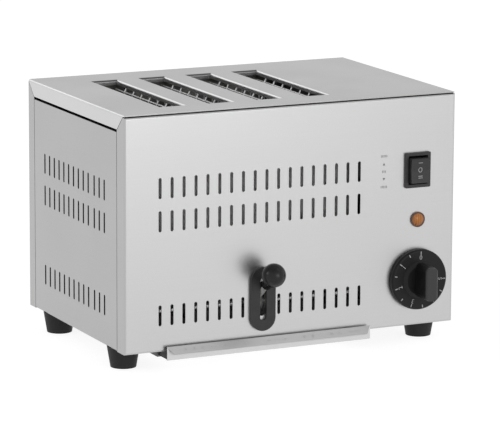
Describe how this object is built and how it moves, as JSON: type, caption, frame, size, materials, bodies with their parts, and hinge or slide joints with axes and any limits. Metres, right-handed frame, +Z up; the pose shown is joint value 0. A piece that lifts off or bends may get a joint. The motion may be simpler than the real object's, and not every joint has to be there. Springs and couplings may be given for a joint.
{
  "type": "slot toaster",
  "caption": "Catering slot toaster in folded brushed steel with a ball lever that lifts the bread, a rocker switch, pilot lamp, timer knob and pull-out crumb tray.",
  "frame": {"origin": "on the floor under the middle of the part's bounding box", "axes": "+X to the right seen from the front, -Y out of the front panel, +Z up"},
  "size_m": [0.31, 0.2468, 0.22],
  "materials": {
    "casing_steel": "fine brushed stainless steel",
    "inner_steel": "plain mill-finish steel",
    "bright_steel": "bright plated steel",
    "tray_steel": "polished stainless steel",
    "guard_wire": "bright drawn wire",
    "heating_ribbon": "dull resistance ribbon",
    "mica": "pressed mica sheet",
    "ball_plastic": "polished black plastic",
    "plate_plastic": "satin dark grey plastic",
    "knob_plastic": "satin black plastic with white marks",
    "black_plastic": "moulded black plastic",
    "amber_lens": "tinted clear plastic",
    "foot_rubber": "moulded black rubber",
    "terminal_ceramic": "glazed ceramic"
  },
  "bodies": {
    "casing": {"front_panel": "casing_steel", "rear_panel": "casing_steel", "left_side_panel": "casing_steel", "right_side_panel": "casing_steel", "top_cover": "casing_steel", "base_plate": "inner_steel", "chamber_front_plate": "inner_steel", "chamber_rear_plate": "inner_steel", "left_heat_shield": "inner_steel", "right_heat_shield": "inner_steel", "heater_board_1": "mica", "heater_board_2": "mica", "heater_board_3": "mica", "heater_board_4": "mica", "heater_board_5": "mica", "heater_ribbon_1": "heating_ribbon", "heater_ribbon_2": "heating_ribbon", "heater_ribbon_3": "heating_ribbon", "heater_ribbon_4": "heating_ribbon", "heater_ribbon_5": "heating_ribbon", "wire_guard_left_1": "guard_wire", "wire_guard_left_2": "guard_wire", "wire_guard_left_3": "guard_wire", "wire_guard_left_4": "guard_wire", "wire_guard_right_1": "guard_wire", "wire_guard_right_2": "guard_wire", "wire_guard_right_3": "guard_wire", "wire_guard_right_4": "guard_wire", "guide_rods": "bright_steel", "shaft_bearings": "inner_steel", "lever_plate": "plate_plastic", "switch_housing": "black_plastic", "lamp_body": "black_plastic", "lamp_lens": "amber_lens", "timer_body": "inner_steel", "tray_runners": "inner_steel", "foot_front_left": "foot_rubber", "foot_front_right": "foot_rubber", "foot_rear_left": "foot_rubber", "foot_rear_right": "foot_rubber", "foot_screws": "bright_steel", "casing_screws": "bright_steel", "cord_gland": "black_plastic", "terminal_block": "terminal_ceramic"},
    "bread_lift": {"bread_rack_1": "bright_steel", "bread_rack_2": "bright_steel", "bread_rack_3": "bright_steel", "bread_rack_4": "bright_steel", "lift_front_bar": "inner_steel", "lift_rear_bar": "inner_steel", "lift_left_rail": "inner_steel", "lift_right_rail": "inner_steel"},
    "lever": {"rock_shaft": "bright_steel", "lift_arms": "inner_steel", "lever_arm": "bright_steel", "lever_ball": "ball_plastic"},
    "timer_dial": {"timer_shaft": "bright_steel", "timer_knob": "knob_plastic"},
    "rocker": {"switch_rocker": "black_plastic"},
    "tray": {"crumb_tray": "tray_steel"}
  },
  "joints": [
    {"name": "carriage_lift", "type": "slide", "parent": "casing", "child": "bread_lift", "axis": [0, 0, 1], "range_m": [0, 0.03]},
    {"name": "lever_swing", "type": "hinge", "parent": "casing", "child": "lever", "pos_m": [-0.0285, -0.07662, 0.05], "axis": [1, 0, 0], "range_deg": [0, 56]},
    {"name": "timer_turn", "type": "hinge", "parent": "casing", "child": "timer_dial", "pos_m": [0.1195, -0.09062, 0.059], "axis": [0, 1, 0], "range_deg": [0, 270]},
    {"name": "rocker_tilt", "type": "hinge", "parent": "casing", "child": "rocker", "pos_m": [0.1185, -0.08762, 0.1545], "axis": [1, 0, 0], "range_deg": [-10, 10]},
    {"name": "tray_slide", "type": "slide", "parent": "casing", "child": "tray", "axis": [0, -1, 0], "range_m": [0, 0.17]}
  ],
  "couplings": [
    {"joint": "lever_swing", "follows": "carriage_lift", "rad_per_m": 32.53}
  ]
}
